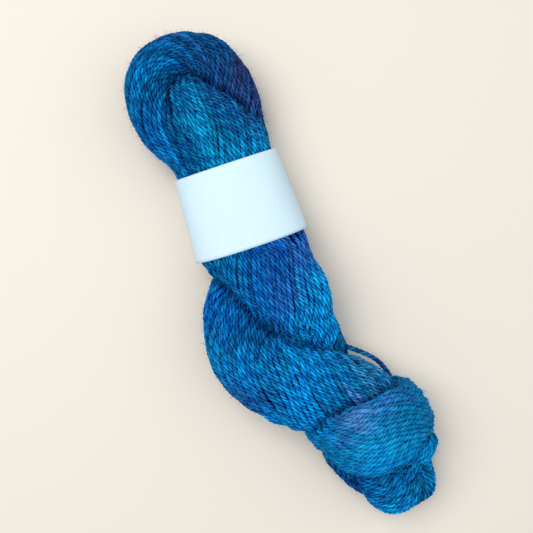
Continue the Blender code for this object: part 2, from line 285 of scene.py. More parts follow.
SPLASHES = [
    Splash(Dye.TEAL, -25.0, 112.0, 16.0),
    Splash(Dye.DEEP_TEAL, -4.0, 130.0, 16.0),
    Splash(Dye.AZURE, -16.0, 127.0, 5.0),
    Splash(Dye.HYACINTH, 8.5, 133.5, 2.8),
    Splash(Dye.HYACINTH, 12.5, 127.5, 2.8),
    Splash(Dye.HYACINTH, 15.5, 121.0, 3.2),
    Splash(Dye.HYACINTH, 18.0, 115.0, 3.2),
    Splash(Dye.DEEP_TEAL, 6.0, 124.0, 5.0),
    Splash(Dye.NAVY, 20.0, 128.0, 7.0),
    Splash(Dye.NAVY, 26.0, 119.0, 6.0),
    Splash(Dye.INDIGO, 29.0, 103.0, 12.0),
    Splash(Dye.HYACINTH, 27.0, 95.0, 5.0),
    Splash(Dye.COBALT, 18.0, 109.0, 6.0),
    # painted shade as well as dye: these navy splashes darken the arch's inner crease
    Splash(Dye.NAVY, -16.0, 111.0, 9.0),
    Splash(Dye.NAVY, -14.0, 103.0, 7.0),
    Splash(Dye.NAVY, -15.0, 118.0, 5.0),
    Splash(Dye.INDIGO, 33.0, 88.0, 12.0),
    Splash(Dye.SAPPHIRE, -20.0, 92.0, 12.0),
    Splash(Dye.TURQUOISE, 0.0, 91.0, 8.0),
    Splash(Dye.TURQUOISE, 1.0, 74.0, 12.0),
    Splash(Dye.NAVY, 17.0, 91.0, 11.0),
    Splash(Dye.NAVY, 14.0, 84.0, 6.0),
    Splash(Dye.PETROL, 15.0, 80.0, 7.0),
    Splash(Dye.LAGOON, 23.0, 75.0, 8.0),
    Splash(Dye.TURQUOISE, -10.0, 91.0, 6.5),
    Splash(Dye.AZURE, -19.0, 75.0, 9.0),
    Splash(Dye.TEAL, -17.0, 9.0, 11.0),
    Splash(Dye.ROYAL, 4.0, 4.0, 12.0),
    Splash(Dye.NAVY, 1.0, 5.0, 6.0),
    Splash(Dye.CORNFLOWER, 16.0, 6.0, 8.0),
    Splash(Dye.CORNFLOWER, 5.0, -11.0, 8.0),
    Splash(Dye.CERULEAN, 18.0, -21.0, 10.0),
    Splash(Dye.AZURE, 6.0, -31.0, 8.0),
    Splash(Dye.COBALT, -9.0, -11.0, 6.0),
    Splash(Dye.COBALT, -30.0, -6.0, 10.0),
    Splash(Dye.SAPPHIRE, -32.0, 2.0, 7.0),
    Splash(Dye.LAGOON, -42.0, -22.0, 9.0),
    Splash(Dye.NAVY, -27.0, -16.0, 11.0),
    Splash(Dye.AZURE, -29.0, -37.0, 8.0),
    Splash(Dye.SLATE, -38.0, -48.0, 10.0),
    Splash(Dye.LAGOON, -13.0, -44.0, 8.0),
    Splash(Dye.AZURE, -4.0, -57.0, 10.0),
    Splash(Dye.LAGOON, 14.0, -60.0, 9.0),
    Splash(Dye.MIST, 27.0, -62.0, 6.0),
    Splash(Dye.AZURE, -16.0, -70.0, 11.0),
    Splash(Dye.TEAL, 12.0, -71.0, 9.0),
    Splash(Dye.HYACINTH, 2.0, -83.5, 4.0),
    Splash(Dye.PERIWINKLE, 11.0, -82.0, 5.5),
    Splash(Dye.CORNFLOWER, 25.0, -83.0, 5.0),
    Splash(Dye.SLATE, 37.0, -84.0, 4.0),
    Splash(Dye.LAGOON, 32.0, -93.0, 9.0),
    Splash(Dye.LAGOON, 12.0, -96.0, 12.0),
    Splash(Dye.CERULEAN, 14.0, -93.0, 8.5),
    Splash(Dye.AZURE, 10.0, -109.0, 7.0),
    Splash(Dye.TEAL, -10.0, -95.0, 8.0),
    Splash(Dye.LAGOON, 36.0, -98.0, 11.0),
    Splash(Dye.AZURE, 33.0, -112.0, 6.5),
    Splash(Dye.SAPPHIRE, -4.0, -117.0, 7.0),
    Splash(Dye.COBALT, 13.0, -119.0, 8.0),
    Splash(Dye.LAGOON, 12.0, -126.0, 10.0),
    Splash(Dye.CERULEAN, 9.0, -135.0, 7.0),
    Splash(Dye.CERULEAN, 34.0, -126.0, 6.5),
]


@dataclass(frozen=True)
class DyeBath:
    """Hand dyeing: splashes of shade, smeared where a strand slid since. Millimetres."""

    splashes: tuple[Splash, ...] = tuple(SPLASHES)
    far_weight: float = 0.002      # what a splash still counts for far away
    slides: tuple[tuple[float, float, float], ...] = (  # reach, length of a radian, phase
        (4.5, 7.3, 3.0), (3.5, 3.1, 5.0))
    spread: float = 0.22           # how much paler or darker one strand takes the dye

    def colour(self, points: np.ndarray, shift: np.ndarray, slip: float, step: float
               ) -> np.ndarray:
        """Colour of the wool at points.

        Args:
            points: places in the part's frame.
            shift: how far this strand slid since it was dyed, and how dark it took.
            slip: how much the shades smear along it, from 0 to 1.
            step: the distance between the points.

        Returns:
            Linear red, green, blue and alpha for each point.
        """
        along = np.arange(len(points)) * step
        slide = sum(reach * np.sin(along / radian + phase * shift[k])
                    for k, (reach, radian, phase) in enumerate(self.slides))
        spots = points[:, :2] + FOOTPRINT_MIDDLE[:2] + shift[:2]
        spots[:, 1] += slip ** 2 * slide
        total = np.full(len(points), 1e-6)
        colour = np.zeros((len(points), 3))
        for splash in self.splashes:
            away = np.hypot(spots[:, 0] - splash.x, spots[:, 1] - splash.y) / splash.reach
            weight = np.exp(-away ** 2) + self.far_weight / (1 + away ** 4)
            colour += weight[:, None] * np.array(linear(splash.shade.value)[:3])
            total += weight
        colour = colour / total[:, None] * (1.0 + self.spread * np.clip(shift[2], -2, 1))
        return np.concatenate([colour, np.ones((len(points), 1))], axis=1)


@dataclass(frozen=True)
class Yarn:
    """A worsted-spun yarn of three plies. Lengths in millimetres."""

    diameter: float = 2.8
    laid_spacing: float = 2.45
    least_gap: float = 2.5     # between the middles of two strands that touch
    plies: int = 3
    ply_pitch: float = 7.8
    groove: float = 0.42       # share of the radius that the furrow between plies goes in
    furrow: float = 1.6        # power of its shape, higher is narrower
    ring_step: float = 1.15
    corners: int = 12
    inset: float = 1.3         # how far inside the bundle's surface a strand's middle lies

    @property
    def radius(self) -> float:
        """Half the diameter."""
        return 0.5 * self.diameter


@dataclass(frozen=True)
class Spinning:
    """How unevenly a yarn is spun. Turns in radians, and a wave as millimetres to a radian."""

    pitch_share: tuple[float, float] = (0.82, 1.2)
    slack: float = 0.9                             # how far the twist runs ahead and back
    slack_wave: float = 7.1
    slack_share: tuple[float, float] = (0.3, 1.6)
    lead_wave: tuple[float, float] = (9.0, 25.0)   # over which the palest ply changes
    sway: float = 1.5
    sway_wave: tuple[float, float] = (3.0, 8.0)
    thickness: tuple[float, float] = (0.92, 1.07)  # beside the yarn's own
    slub: float = 0.05                             # share by which it thickens and thins
    slub_wave: tuple[float, float] = (3.0, 9.0)
    phase: tuple[float, float] = (0.0, 6.0)

    def run(self, length: np.ndarray, pitch: float, rng: np.random.Generator
            ) -> tuple[np.ndarray, np.ndarray, np.ndarray]:
        """Spin one run of yarn.

        Args:
            length: how far along the run each of its points lies.
            pitch: the length of one turn of the plies.
            rng: the seeded source of the unevenness.

        Returns:
            The turn of the plies, the turn of the palest ply and the thickness at each point.
        """
        pitch = pitch * rng.uniform(*self.pitch_share)
        slack = self.slack * np.sin(length / self.slack_wave + rng.uniform(*self.phase))
        slack *= rng.uniform(*self.slack_share)
        tilt = rng.uniform(0, FULL_TURN) + slack - FULL_TURN * length / pitch
        lead = (rng.uniform(*self.phase) + length / rng.uniform(*self.lead_wave)
                + self.sway * np.sin(length / rng.uniform(*self.sway_wave)))
        girth = rng.uniform(*self.thickness) + self.slub * np.sin(
            length / rng.uniform(*self.slub_wave) + rng.uniform(*self.phase))
        return tilt, lead, girth


@dataclass(frozen=True)
class Lay:
    """How the strands of a bundle lie and stray. Lengths in millimetres."""

    swirls: int = 7                # broad waves that neighbours share
    swirl_turns: tuple[int, int] = (2, 11)
    swirl_pitch: tuple[float, float] = (45.0, 130.0)
    swirl_reach: float = 1.15
    waves: int = 3                 # small waves of each strand's own
    wave_pitch: tuple[float, float] = (22.0, 70.0)
    aside: float = 0.36
    upward: float = 0.26
    out_of_step: tuple[float, float] = (1.3, 2.1)  # how rises differ in pitch and in phase
    fade: float = 3.0              # number of strands over which the last ones go under
    sink: float = 2.8              # how deep a strand goes where there is no room for it
    deepest: float = 2.4           # deeper than this it is cut off
    slid: float = 3.4              # how far strands slid since they were dyed
    shortest: int = 6              # points of the shortest run that is kept


@dataclass
class Strand:
    """One run of yarn: its points and their surface normals, in millimetres."""

    points: np.ndarray
    normals: np.ndarray
    bundle: int
    shift: np.ndarray
    shade: np.ndarray          # painted crease shade: 1 in the open, less down in a crease

    def cut(self, keep: np.ndarray, shortest: int) -> list["Strand"]:
        """Split the strand where points are dropped.

        Args:
            keep: True for each point that stays.
            shortest: fewest points of a run worth keeping.

        Returns:
            The runs that are left.
        """
        edges = np.flatnonzero(np.diff(np.concatenate([[False], keep, [False]]).astype(int)))
        return [Strand(self.points[a:b], self.normals[a:b], self.bundle, self.shift,
                       self.shade[a:b])
                for a, b in zip(edges[::2], edges[1::2]) if b - a >= shortest]


def catmull_rom(rows: np.ndarray, shares: np.ndarray, closed: bool) -> np.ndarray:
    """Values at shares of the way along rows, on a curve through all of them.

    Args:
        rows: one row of numbers for each knot.
        shares: places along the rows, from 0 to 1.
        closed: whether the last row runs back to the first.

    Returns:
        One row for each share.
    """
    count = len(rows)
    if closed:
        padded = np.concatenate([rows[-1:], rows, rows[:2]])
        spans = count
    else:
        padded = np.concatenate([2 * rows[:1] - rows[1:2], rows, 2 * rows[-1:] - rows[-2:-1]])
        spans = count - 1
    place = np.asarray(shares) * spans
    index = np.clip(place.astype(int), 0, spans - 1)
    t = (place - index)[:, None]
    before, start, end, after = (padded[index + k] for k in range(4))
    return 0.5 * (2 * start + (end - before) * t
                  + (2 * before - 5 * start + 4 * end - after) * t ** 2
                  + (3 * start - before - 3 * end + after) * t ** 3)


def unit(vectors: np.ndarray) -> np.ndarray:
    """The vectors at length one."""
    return vectors / np.maximum(np.linalg.norm(vectors, axis=-1, keepdims=True), 1e-9)


def distances(points: np.ndarray) -> np.ndarray:
    """How far along a line each of its points lies."""
    return np.concatenate([[0.0], np.cumsum(np.linalg.norm(np.diff(points, axis=0), axis=1))])


def rounded(turns: np.ndarray) -> tuple[np.ndarray, np.ndarray]:
    """Go round a superellipse of half width and half height one, a pressed bundle's section.

    Args:
        turns: angles, in radians.

    Returns:
        The distance across and the height at each angle.
    """
    power = 2 / SQUARENESS
    cosine, sine = np.cos(turns), np.sin(turns)
    return np.sign(cosine) * np.abs(cosine) ** power, np.sign(sine) * np.abs(sine) ** power


@dataclass
class Bundle:
    """A bundle of strands swept along a table of sections."""

    name: str
    piece: str
    table: list[Section]
    width_axis: tuple[float, float, float] | None = None
    closed: bool = False
    crease: float = 1.0        # how much of the painted crease shade its strands take
    haze: float = 0.0          # how far loose fibres fill its furrows: less painted furrow and flank shade, evener tone
    lay: Lay = Lay()
    samples: int = 96          # chords by which the girth is measured

    def lay_out(self, step: float) -> None:
        """Find evenly spaced stations along the bundle and the frame at each.

        Args:
            step: millimetres from one station to the next.
        """
        rows = np.array([[s.x, s.y, s.z, s.half_width, s.half_height, s.drift]
                         for s in self.table])
        rows[:, :3] -= FOOTPRINT_MIDDLE
        fine = np.linspace(0.0, 1.0, 60 * len(rows) + 1)
        path = catmull_rom(rows, fine, self.closed)[:, :3]
        length = distances(path)
        count = max(8, round(length[-1] / step))
        self.reach = np.linspace(0.0, length[-1], count + 1)
        shares = np.interp(self.reach, length, fine)
        values = catmull_rom(rows, shares, self.closed)
        self.middle, self.half, self.drift = values[:, :3], values[:, 3:5], values[:, 5]
        behind = catmull_rom(rows, np.clip(shares - 0.004, 0, 1), self.closed)[:, :3]
        ahead = catmull_rom(rows, np.clip(shares + 0.004, 0, 1), self.closed)[:, :3]
        heading = unit(ahead - behind)
        if self.closed:
            heading[0] = heading[-1] = unit(heading[0] + heading[-1])
        if self.width_axis is None:
            self.side = unit(np.cross(heading, [0.0, 0.0, 1.0]))
        else:
            axis = np.array(self.width_axis)
            self.side = unit(axis - (heading @ axis)[:, None] * heading)
        self.up = np.cross(self.side, heading)
        self.heading = heading

    def section(self, station: int, turns: np.ndarray, inset: float | np.ndarray
                ) -> tuple[np.ndarray, np.ndarray]:
        """Points and outward normals round one station.

        Args:
            station: the station's number.
            turns: angles round the section, in radians.
            inset: how far inside the surface the points lie.

        Returns:
            The points and the normals, one row for each angle.
        """
        wide, high = self.half[station]
        across, upward = rounded(turns)
        slope = SQUARENESS - 1
        flat = unit(np.stack([np.sign(across) * np.abs(across) ** slope / wide,
                              np.sign(upward) * np.abs(upward) ** slope / high], axis=1))
        inset = np.broadcast_to(inset, turns.shape)
        width = across * wide - inset * flat[:, 0]
        height = upward * high - inset * flat[:, 1]
        points = (self.middle[station] + width[:, None] * self.side[station]
                  + height[:, None] * self.up[station])
        normals = flat[:, :1] * self.side[station] + flat[:, 1:] * self.up[station]
        return points, normals

    def girth(self, station: int) -> tuple[np.ndarray, np.ndarray]:
        """Measure round one station.

        Args:
            station: the station's number.

        Returns:
            Angles and the length of skin up to each, in millimetres.
        """
        turns = np.linspace(0.0, FULL_TURN, self.samples + 1)
        return turns, distances(self.section(station, turns, 0.0)[0])

    def rings(self, inset: float, corners: int, step: int) -> list[np.ndarray]:
        """Set rings of corners along the bundle.

        Args:
            inset: how far inside the surface they lie.
            corners: number of corners round each.
            step: stations from one ring to the next.

        Returns:
            The corners of each ring.
        """
        turns = np.linspace(0.0, FULL_TURN, corners, endpoint=False)
        stations = list(range(0, len(self.reach), step))
        if not self.closed and stations[-1] != len(self.reach) - 1:
            stations.append(len(self.reach) - 1)
        if self.closed:
            stations = [s for s in stations if s < len(self.reach) - step // 2]
        return [self.section(s, turns, inset)[0] for s in stations]

    def faces(self, rings: list[np.ndarray]) -> tuple[np.ndarray, list[tuple[int, ...]]]:
        """Join rings of corners to one closed skin.

        Args:
            rings: corners round each station.

        Returns:
            The corners and the faces.
        """
        corners = len(rings[0])
        faces: list[tuple[int, ...]] = []
        last = len(rings) if self.closed else len(rings) - 1
        for ring in range(last):
            following = (ring + 1) % len(rings)
            for k in range(corners):
                after = (k + 1) % corners
                faces.append((ring * corners + k, following * corners + k,
                              following * corners + after, ring * corners + after))
        if not self.closed:
            faces.append(tuple(range(corners)))
            faces.append(tuple(range(len(rings) * corners - 1, (len(rings) - 1) * corners - 1, -1)))
        return np.concatenate(rings), faces

    def lay_strands(self, yarn: Yarn, number: int, rng: np.random.Generator) -> list[Strand]:
        """Lay strands side by side round the bundle, drifting as the twist takes them.

        Args:
            yarn: the yarn's sizes.
            number: the bundle's number, kept on each strand.
            rng: the seeded source of every irregularity.

        Returns:
            The strands, before they push each other apart.
        """
        lay = self.lay
        girths = [self.girth(s) for s in range(len(self.reach))]
        around = np.array([skin[-1] for _, skin in girths])
        place, under = self.share_out(yarn, around)
        aside, rise = self.stray(place, rng)
        place = place + aside / around[None, :]
        sunk = lay.sink * under
        points = np.zeros((*place.shape, 3))
        normals = np.zeros((*place.shape, 3))
        for s, (turns, skin) in enumerate(girths):
            angle = np.interp((place[:, s] % 1.0) * skin[-1], skin, turns)
            inset = yarn.inset + sunk[:, s] - rise[:, s]
            points[:, s], normals[:, s] = self.section(s, angle, inset)
        laid = []
        for k in range(len(place)):
            shift = np.append(rng.normal(0.0, lay.slid, 2), rng.normal(0.0, 1.0))
            whole = even_run(points[k], normals[k], sunk[k], yarn.ring_step)
            run = Strand(whole[0], whole[1], number, shift, np.ones(len(whole[0])))
            laid += run.cut(whole[2] < lay.deepest, lay.shortest)
        return laid

    def share_out(self, yarn: Yarn, around: np.ndarray) -> tuple[np.ndarray, np.ndarray]:
        """Find where each strand lies, and which ones go under where the bundle narrows.

        Args:
            yarn: the yarn's sizes.
            around: the girth at each station.

        Returns:
            Each strand's place as a share of the girth, and how far under it is, from 0 to 1,
            with a row for each strand and a column for each station.
        """
        across = around * np.cos(np.radians(self.drift))
        strands = math.ceil(across.max() / yarn.laid_spacing)
        turn = -np.tan(np.radians(self.drift)) / around
        gone = np.concatenate([[0.0], np.cumsum(0.5 * (turn[1:] + turn[:-1])
                                                * np.diff(self.reach))])
        if self.closed:
            gone -= self.reach / self.reach[-1] * (gone[-1] - round(gone[-1] * strands) / strands)
        rank = (np.arange(strands) * GOLDEN_SHARE) % 1.0 * strands
        room = across[None, :] / yarn.laid_spacing
        under = np.clip((rank[:, None] + 1.0 - room) / self.lay.fade, 0.0, 1.0)
        share = 1.0 - under
        place = (np.cumsum(share, axis=0) - 0.5 * share) / share.sum(axis=0) + gone[None, :]
        return place, under

    def stray(self, place: np.ndarray, rng: np.random.Generator
              ) -> tuple[np.ndarray, np.ndarray]:
        """Let the strands wander, some of it with their neighbours and some on their own.

        Args:
            place: each strand's place as a share of the girth, at each station.
            rng: the seeded source of every irregularity.

        Returns:
            How far each strand strays to the side, and how far up.
        """
        lay = self.lay
        aside = np.zeros(place.shape)
        rise = np.zeros(place.shape)
        for _ in range(lay.swirls):
            swirl = rng.integers(*lay.swirl_turns)
            pitch = rng.uniform(*lay.swirl_pitch)
            phase = rng.uniform(0, FULL_TURN)
            aside += lay.swirl_reach / swirl * np.sin(
                FULL_TURN * (swirl * place + self.reach / pitch) + phase)
        for _ in range(lay.waves):
            pitch = rng.uniform(*lay.wave_pitch, len(place))[:, None]
            phase = rng.uniform(0, FULL_TURN, len(place))[:, None]
            aside += lay.aside * np.sin(FULL_TURN * self.reach / pitch + phase)
            faster, later = lay.out_of_step
            rise += lay.upward * np.sin(FULL_TURN * self.reach / pitch * faster + later * phase)
        return aside, rise


def even_run(points: np.ndarray, normals: np.ndarray, sunk: np.ndarray, step: float
             ) -> tuple[np.ndarray, np.ndarray, np.ndarray]:
    """Take points along a run at even steps.

    Args:
        points: the run's points.
        normals: their normals.
        sunk: how deep each lies under its neighbours.
        step: the wanted distance.

    Returns:
        Points, normals and depths at the even steps.
    """
    length = distances(points)
    places = np.linspace(0.0, length[-1], max(3, round(length[-1] / step) + 1))
    even, facing = (
        np.stack([np.interp(places, length, column) for column in rows.T], axis=1)
        for rows in (points, normals))
    return even, unit(facing), np.interp(places, length, sunk)


def near_pairs(points: np.ndarray, reach: float) -> tuple[np.ndarray, np.ndarray]:
    """Find every pair of points closer than reach, by sorting them into cells.

    Args:
        points: one point a row.
        reach: the greatest distance.

    Returns:
        The numbers of the first and of the second point of each pair.
    """
    cells = np.floor(points / reach).astype(np.int64)
    cells -= cells.min(axis=0) - 1
    size = cells.max(axis=0) + 2
    key = (cells[:, 0] * size[1] + cells[:, 1]) * size[2] + cells[:, 2]
    order = np.argsort(key, kind="stable")
    ranked = key[order]
    firsts, seconds = [], []
    numbers = np.arange(len(points))
    for dx, dy, dz in product((-1, 0, 1), repeat=3):
        wanted = key + (dx * size[1] + dy) * size[2] + dz
        low = np.searchsorted(ranked, wanted, "left")
        many = np.searchsorted(ranked, wanted, "right") - low
        first = np.repeat(numbers, many)
        offset = np.arange(many.sum()) - np.repeat(np.cumsum(many) - many, many)
        second = order[np.repeat(low, many) + offset]
        keep = first < second
        first, second = first[keep], second[keep]
        gap = points[first] - points[second]
        keep = (gap * gap).sum(axis=1) < reach * reach
        firsts.append(first[keep])
        seconds.append(second[keep])
    return np.concatenate(firsts), np.concatenate(seconds)


@dataclass
class PaperBand:
    """The plain paper band round the waist. Lengths in millimetres of the tables."""

    top: tuple[float, float] = (4.0, 65.5)
    bottom: tuple[float, float] = (-1.2, 21.0)
    half_width_top: float = 28.4
    half_width_bottom: float = 31.2
    half_height: float = 21.0
    lean: float = 0.13         # how far it leans down the hank for each millimetre of height
    paper: float = 0.3
    overlap: float = 10.0
    seam: float = 0.78         # share of the girth where the strip starts, underneath
    step_in: float = 0.62      # how far the strip's start lies under its end
    step_run: float = 6.0      # length over which it steps in
    ripple: float = 0.10       # shallow waves in the paper
    ripples: int = 7
    ripple_slant: float = 0.05     # radians for each millimetre down the band
    samples: int = 720         # chords by which the girth is measured
    reach: float = 14.0        # how far past its edges it still gathers the yarn
    columns: int = 150
    rows: int = 28

    def frame(self) -> tuple[np.ndarray, np.ndarray, np.ndarray, float]:
        """Find how the band lies.

        Returns:
            Its top middle, its direction down the hank, the one across it, and its width.
        """
        top = np.array([*self.top, 0.0]) - FOOTPRINT_MIDDLE
        bottom = np.array([*self.bottom, 0.0]) - FOOTPRINT_MIDDLE
        along = unit(bottom - top)
        return top, along, np.cross(along, [0.0, 0.0, 1.0]), float(np.linalg.norm(bottom - top))

    def local(self, points: np.ndarray) -> tuple[np.ndarray, np.ndarray, np.ndarray]:
        """Measure points in the band's own directions.

        Args:
            points: one point a row.

        Returns:
            Distance down from the top edge, distance across and height over the middle.
        """
        top, along, across, _ = self.frame()
        height = points[:, 2] - self.half_height
        flat = points - along * (self.lean * height)[:, None]
        return (flat - top) @ along, (flat - top) @ across, height

    def half_width(self, down: np.ndarray) -> np.ndarray:
        """Half the band's width at a distance down from its top edge."""
        share = down / self.frame()[3]
        return self.half_width_top + (self.half_width_bottom - self.half_width_top) * share

    def gather(self, points: np.ndarray, clear: float, slope: float) -> np.ndarray:
        """Draw points in so that they pass under the paper.

        Args:
            points: one point a row.
            clear: how far inside the paper's outside they stay.
            slope: how fast they may swell out past the paper's edges.

        Returns:
            The moved points.
        """
        _, along, across, width = self.frame()
        down, aside, height = self.local(points)
        beyond = np.maximum(np.maximum(-down, down - width), 0.0)
        room = clear - slope * beyond
        wide = self.half_width(np.clip(down, 0.0, width)) - room
        high = self.half_height - room
        size = (np.abs(aside / wide) ** SQUARENESS
                + np.abs(height / high) ** SQUARENESS) ** (1 / SQUARENESS)
        pull = np.where((size > 1.0) & (beyond < self.reach),
                        1.0 / np.maximum(size, 1e-6) - 1.0, 0.0)
        moved = points + (aside * pull)[:, None] * across
        lift = height * pull
        moved[:, 2] += lift
        return moved + along * (self.lean * lift)[:, None]

    def hidden(self, points: np.ndarray, margin: float) -> np.ndarray:
        """True for each point that lies under the paper, more than a margin from its edges."""
        down, _, _ = self.local(points)
        return (down > margin) & (down < self.frame()[3] - margin)

    def build(self) -> bpy.types.Object:
        """Wrap the strip round the waist and over its own end underneath.

        Returns:
            The band as one thin closed sheet.
        """
        top, along, across, width = self.frame()
        turns = np.linspace(0.0, FULL_TURN, self.samples + 1)
        shape = np.stack(rounded(turns), axis=1)
        high = self.half_height
        grid = []
        flat_length = 0.0
        for row in range(self.rows + 1):
            down = width * row / self.rows
            wide = float(self.half_width(np.array(down)))
            skin = distances(shape * [wide, high])
            girth = skin[-1]
            flat_length = max(flat_length, girth + self.overlap)
            lengths = np.linspace(0.0, girth + self.overlap, self.columns + 1)
            angle = np.interp((self.seam * girth + lengths) % girth, skin, turns)
            under = np.clip((self.overlap + self.step_run - lengths) / self.step_run, 0.0, 1.0)
            inward = self.paper / 2 + self.step_in * under * under * (3 - 2 * under)
            inward -= self.ripple * math.sin(math.pi * row / self.rows) * np.sin(
                self.ripples * FULL_TURN * lengths / girth + self.ripple_slant * down)
            x, y = rounded(angle)
            x, y = x * (wide - inward), y * (high - inward)
            y = np.maximum(y, self.paper / 2 - high)          # flat on the floor
            grid.append([top + along * (down + self.lean * v) + across * u
                         + np.array([0.0, 0.0, high + v]) for u, v in zip(x, y)])
        self.flat_length = flat_length
        mesh = bmesh.new()
        corners = [[mesh.verts.new(Vector(p * MM)) for p in line] for line in grid]
        for upper, lower in zip(corners, corners[1:]):
            for k in range(self.columns):
                mesh.faces.new((upper[k], upper[k + 1], lower[k + 1], lower[k]))
        made = mesh_object("paper_wrap", mesh)
        thick = made.modifiers.new("Paper", "SOLIDIFY")
        thick.thickness = self.paper * MM
        thick.offset = 0.0
        return made


def store(data: bpy.types.Mesh, name: str, kind: str, key: str, values: list[np.ndarray]
          ) -> None:
    """Keep a value for each point of a mesh as a named attribute.

    Args:
        data: the mesh.
        name: the attribute's name.
        kind: its data type.
        key: what one item's value is called.
        values: the values, one array for each strand.
    """
    made = data.attributes.new(name, kind, "POINT")
    made.data.foreach_set(key, np.concatenate(values).astype(np.float32).ravel())


def plain_mesh(name: str, data: bpy.types.Mesh, tree: bpy.types.NodeTree) -> bpy.types.Object:
    """Run geometry nodes on a mesh and keep the result as a plain object.

    Args:
        name: the new object's name.
        data: the mesh that goes in.
        tree: the geometry nodes.

    Returns:
        The object, with no modifier left on it.
    """
    source = bpy.data.objects.new(name + "_source", data)
    bpy.context.scene.collection.objects.link(source)
    source.modifiers.new("Nodes", "NODES").node_group = tree
    graph = bpy.context.evaluated_depsgraph_get()
    result = bpy.data.meshes.new_from_object(source.evaluated_get(graph))
    bpy.data.objects.remove(source, do_unlink=True)
    result.name = name
    made = bpy.data.objects.new(name, result)
    bpy.context.scene.collection.objects.link(made)
    return made


def mesh_object(name: str, mesh: bmesh.types.BMesh) -> bpy.types.Object:
    """Turn a bmesh into a linked, smooth object with its normals pointing out.

    Args:
        name: the object's name.
        mesh: the bmesh, which is freed.

    Returns:
        The object.
    """
    bmesh.ops.recalc_face_normals(mesh, faces=mesh.faces)
    data = bpy.data.meshes.new(name)
    mesh.to_mesh(data)
    mesh.free()
    data.shade_smooth()
    made = bpy.data.objects.new(name, data)
    bpy.context.scene.collection.objects.link(made)
    return made


@dataclass(frozen=True)
class Finish:
    """A node material that starts as one shader."""

    name: str

    def start(self, **sockets: float | tuple[float, ...]
              ) -> tuple[bpy.types.Material, bpy.types.NodeTree, bpy.types.Node]:
        """Begin the material.

        Args:
            sockets: values of the shader's sockets, with an underscore for each space.

        Returns:
            The material, its tree and its shader.
        """
        material = bpy.data.materials.new(self.name)
        material.use_nodes = True
        shader = material.node_tree.nodes["Principled BSDF"]
        for socket, value in sockets.items():
            shader.inputs[socket.replace("_", " ")].default_value = value
        return material, material.node_tree, shader


@dataclass(frozen=True)
class WoolFinish(Finish):
    """Hand-dyed wool, worsted spun and plied: matt, with a soft bloom of short fibres.

    The eye sees bright ply crests over dark grooves, streaks of uneven dye, and no gloss; furrows
    and flanks also get painted shade.
    """

    roughness: float = 0.9
    sheen: float = 0.02
    furrow_painted_shade: tuple[float, float, float] = (0.03, 0.14, 0.46)   # painted shade deep between two plies
    flank_painted_shade: tuple[float, float, float] = (0.05, 0.22, 0.56)     # painted shade on a strand's flanks
    fibre_width: float = 0.12      # millimetres, drawn coarser than the real 0.03 to show
    mottle_width: float = 2.2      # of a patch that took the dye alike
    weak: tuple[float, float, float] = (0.74, 0.76, 0.84)
    strong: tuple[float, float, float] = (1.27, 1.25, 1.14)
    dark_ply: tuple[float, float, float] = (0.52, 0.56, 0.70)  # one ply beside the next
    light_ply: tuple[float, float, float] = (1.54, 1.48, 1.27)

    def make(self) -> bpy.types.Material:
        """Build the node material.

        Returns:
            The material.
        """
        material, tree, shader = self.start(
            Roughness=self.roughness, Specular_IOR_Level=0.04, Sheen_Weight=self.sheen,
            Sheen_Roughness=0.5, Sheen_Tint=linear("#8FB6D8"))
        # Dye comes with painted crease shade in it; Crest and Open mask the painted furrow and
        # flank shade
        dye, crest, haze, tone, edge = (
            node(tree, "ShaderNodeAttribute", attribute_name=name)
            for name in ("Dye", "Crest", "Haze", "Ply tone", "Open"))
        place = node(tree, "ShaderNodeTexCoord")
        fibres, mottle = (
            node(tree, "ShaderNodeTexNoise",
                 {"Vector": place.outputs["Object"], "Scale": 1.0 / (width * MM), "Detail": detail})
            for width, detail in ((self.fibre_width * 4, 3.0), (self.mottle_width, 2.0)))
        # painted shade: flanks that face away from the bundle's surface and furrows between plies
        # are darkened, less where haze fills them
        rise = node(tree, "ShaderNodeMapRange",
                    {"Value": edge.outputs["Fac"], "From Min": -0.1, "From Max": 0.65},
                    interpolation_type="SMOOTHSTEP")
        shades = []
        for tint, light in ((self.flank_painted_shade, rise), (self.furrow_painted_shade, crest.outputs["Fac"])):
            filled = node(tree, "ShaderNodeMix",
                          {"Factor": haze.outputs["Fac"], "A": light, "B": 1.0}, data_type="FLOAT")
            shades.append(node(tree, "ShaderNodeMix", {"Factor": filled, "A": tint, "B": WHITE},
                               data_type="VECTOR"))
        taken = node(tree, "ShaderNodeMapRange",
                     {"Value": mottle.outputs["Fac"], "From Min": 0.3, "From Max": 0.7})
        patch = node(tree, "ShaderNodeMix", {"Factor": taken, "A": self.weak, "B": self.strong},
                     data_type="VECTOR")
        share = node(tree, "ShaderNodeMath", {0: tone.outputs["Fac"], 1: 0.5, 2: 0.5},
                     operation="MULTIPLY_ADD")
        ply = node(tree, "ShaderNodeMix",
                   {"Factor": share, "A": self.dark_ply, "B": self.light_ply}, data_type="VECTOR")
        varied = node(tree, "ShaderNodeVectorMath", {0: patch, 1: ply}, operation="MULTIPLY")
        evened = node(tree, "ShaderNodeMix",
                      {"Factor": haze.outputs["Fac"], "A": varied, "B": WHITE}, data_type="VECTOR")
        colour = dye
        for factor in (*shades, evened):
            colour = node(tree, "ShaderNodeVectorMath", {0: colour, 1: factor},
                          operation="MULTIPLY")
        streak = node(tree, "ShaderNodeMapRange",
                      {"Value": fibres.outputs["Fac"], "From Min": 0.3, "From Max": 0.7,
                       "To Min": 0.72, "To Max": 1.27})
        streaked = node(tree, "ShaderNodeVectorMath", {0: colour, "Scale": streak},
                        operation="SCALE")
        bump = node(tree, "ShaderNodeBump",
                    {"Height": fibres.outputs["Fac"], "Strength": 0.5, "Distance": 0.1 * MM})
        tree.links.new(streaked.outputs[0], shader.inputs["Base Color"])
        tree.links.new(bump.outputs["Normal"], shader.inputs["Normal"])
        return material


